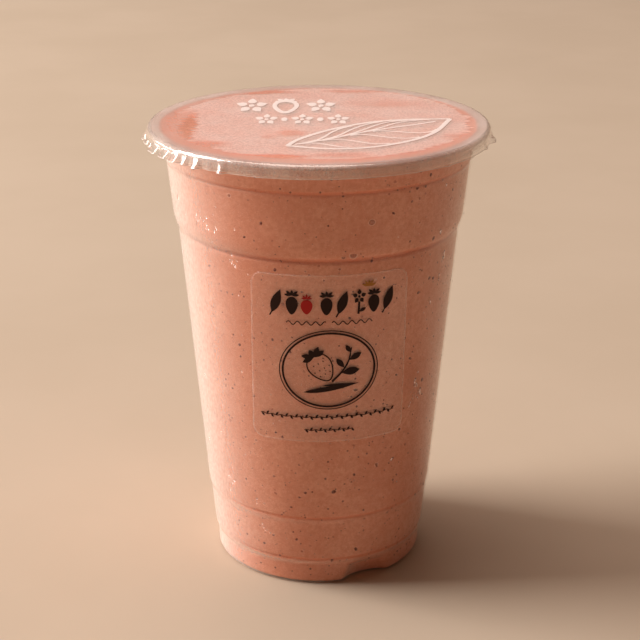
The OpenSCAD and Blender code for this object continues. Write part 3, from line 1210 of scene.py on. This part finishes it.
def make_label_print():
    """The label's prints: a bold row, waves, an oval with a strawberry and a branch, and two vines."""
    mid_u = radians(LABEL_TURN) * wall_at(LABEL_MID_Z)

    def at(u, z):
        """Places given as arc length from the cup's front and height, brought to the label's middle."""
        return u - mid_u, z - LABEL_MID_Z

    dark = bold_row(*at(-11.6, 85.9), 7.4, ("leaf", "berry"), 4.3)
    dark += bold_row(*at(1.9, 85.9), 7.2, ("berry", "leaf", "flower", "berry", "leaf"), 4.3)
    u, v = at(-8.8, 83.6)
    for start, stop in ((0.0, 10.6), (12.2, 23.3)):
        wave = [(u + x, v + 0.5 * sin(x * 2.6)) for x in np.arange(start, stop, 0.12)]
        dark += stroke(wave, 0.27)
    u, v = at(2.8, 69.6)
    dark += stroke(oval(u, v, 13.5, 11.8, 120), 0.28, closed=True)
    dark += stroke(oval(u, v, 12.6, 11.0, 120), 0.55, closed=True)

    u, v = at(0.6, 70.4)
    dark += [spun(loop, u, v, 32) for loop in strawberry(0, 0, 7.4, 8.8, 0.36)]
    branch = curve([at(3.6, 66.2), at(6.2, 69.0), at(8.0, 72.2), at(8.8, 76.2)], 8)
    dark += stroke(branch, lambda t: 0.62 - 0.3 * t)
    dark += [
        leaf(*at(6.0, 68.7), 5.2, 2.3, 8),
        leaf(*at(6.9, 70.2), 3.6, 1.6, 128),
        leaf(*at(8.1, 72.4), 4.0, 1.8, 30),
        leaf(*at(8.7, 74.6), 2.8, 1.3, 124),
        leaf(*at(-4.2, 62.9), 15.6, 1.5, 9, belly=0.75),
        leaf(*at(1.0, 65.0), 9.6, 0.7, 2, belly=0.75),
    ]
    for left, right, z, height in ((-16.3, 22.2, 54.0, 2.5), (-3.8, 10.9, 50.1, 2.3)):
        dark += vine(at(left, z)[0], *at(right, z), height)

    u, v = at(-3.35, 88.3)
    red = [heart(u, v, 3.6, 4.2), *leaves(u, v + 2.35, [(a, 1.5) for a in (90, 42, 138, 10, 170)], 0.5)]
    gold = leaves(*at(13.3, 93.6), ((90, 1.9), (55, 2.2), (125, 2.2), (22, 2.2), (158, 2.2)), 0.6)

    inks = (
        ("label_print_dark", dark, ((0.016, 0.004, 0.002), (0.06, 0.018, 0.010))),
        ("label_print_red", red, ((0.42, 0.012, 0.010), (0.50, 0.05, 0.03))),
        ("label_print_gold", gold, ((0.42, 0.17, 0.03), (0.50, 0.24, 0.07))),
    )
    for name, loops, (colour, worn) in inks:
        ink = ink_material(name, colour, worn)
        placed(name, inked(loops, wrapped, 0.8), ink, smooth=False)


# ---- floor, light and camera

FLOOR_SIZE = 6000.0
# The floor lies this far below the cup's foot, so that the two don't share a plane
FLOOR_GAP = 0.05


def make_floor():
    """A plain pale floor, faintly mottled."""
    bm = bmesh.new()
    bmesh.ops.create_grid(bm, x_segments=8, y_segments=8, size=FLOOR_SIZE / 2 * MM)
    mesh = bpy.data.meshes.new("studio_floor")
    bm.to_mesh(mesh)
    bm.free()
    floor = linked("studio_floor", mesh)
    floor.location.z = -FLOOR_GAP * MM
    s = Shader("studio_floor")
    tone = s.blend(s.ramp(s.noise(9.0, 4.0), 0.3, 0.7), (0.55, 0.440, 0.330), (0.575, 0.462, 0.350))
    matt = s.surface({"Base Color": tone, "Roughness": 0.7, "Specular IOR Level": 0.2})
    mesh.materials.append(s.done(matt))


# Soft light panels: name, azimuth, elevation, distance, width, height, watts, colour
LIGHTS = (
    ("key_light", -97, 36, 3300, 1540, 1980, 132.0, (1.0, 0.96, 0.93)),
    ("top_light", -150, 78, 2600, 1800, 1800, 30.0, (1.0, 0.84, 0.76)),
    ("back_fill", 125, 30, 2800, 1800, 1400, 2.0, (1.0, 0.60, 0.40)),
    ("low_window", -108, 9, 3300, 2860, 572, 40.0, (1.0, 0.96, 0.94)),
)
# The surround's colour near the horizon and higher up, and the sines of the elevations where it changes
HORIZON = (0.24, 0.170, 0.120)
OVERHEAD = (0.06, 0.030, 0.018)
HORIZON_RISE = (0.16, 0.34)
# The camera's place, how many degrees it looks down, and its lens
CAMERA_AT = (0.3, -423.2, 231.2)
CAMERA_DOWN = 20.86
CAMERA_LENS = 87.5


def make_light(name, azimuth, elevation, distance, width, height, watts, colour):
    """A soft light panel that faces the cup's middle."""
    data = bpy.data.lights.new(name, "AREA")
    data.shape = "RECTANGLE"
    data.size = width * MM
    data.size_y = height * MM
    data.energy = watts
    data.color = colour
    light = linked(name, data)
    aim = Vector((0, 0, CUP_H * 0.5))
    flat = distance * cos(radians(elevation))
    place = polar(flat, azimuth, aim.z + distance * sin(radians(elevation)))
    light.location = place * MM
    light.rotation_euler = (aim - place).to_track_quat("-Z", "Y").to_euler()
    light.visible_camera = False


def make_world():
    """A dim warm surround that is paler near the horizon, like the walls of a plain studio."""
    s = Shader("studio_world", bpy.data.worlds)
    share = s.ramp(s.height(s.places["Generated"]), *HORIZON_RISE)
    glow = s.add("Background", {"Color": s.blend(share, HORIZON, OVERHEAD)})
    bpy.context.scene.world = s.done(glow.outputs["Background"], "OutputWorld")


def make_camera():
    """A camera at the front, a little above the cup."""
    data = bpy.data.cameras.new("camera")
    data.sensor_width = 36.0
    data.lens = CAMERA_LENS
    data.clip_start = 0.01
    camera = linked("camera", data)
    camera.location = Vector(CAMERA_AT) * MM
    camera.rotation_euler = (radians(90 - CAMERA_DOWN), 0, 0)
    bpy.context.scene.camera = camera


make_cup()
make_drink()
make_seed_specks()
make_pulp_flecks()
make_wall_bubbles()
make_dew()
make_film()
make_film_print()
make_label()
make_label_print()
make_floor()
for panel in LIGHTS:
    make_light(*panel)
make_world()
make_camera()
bpy.context.scene.view_settings.view_transform = "Standard"
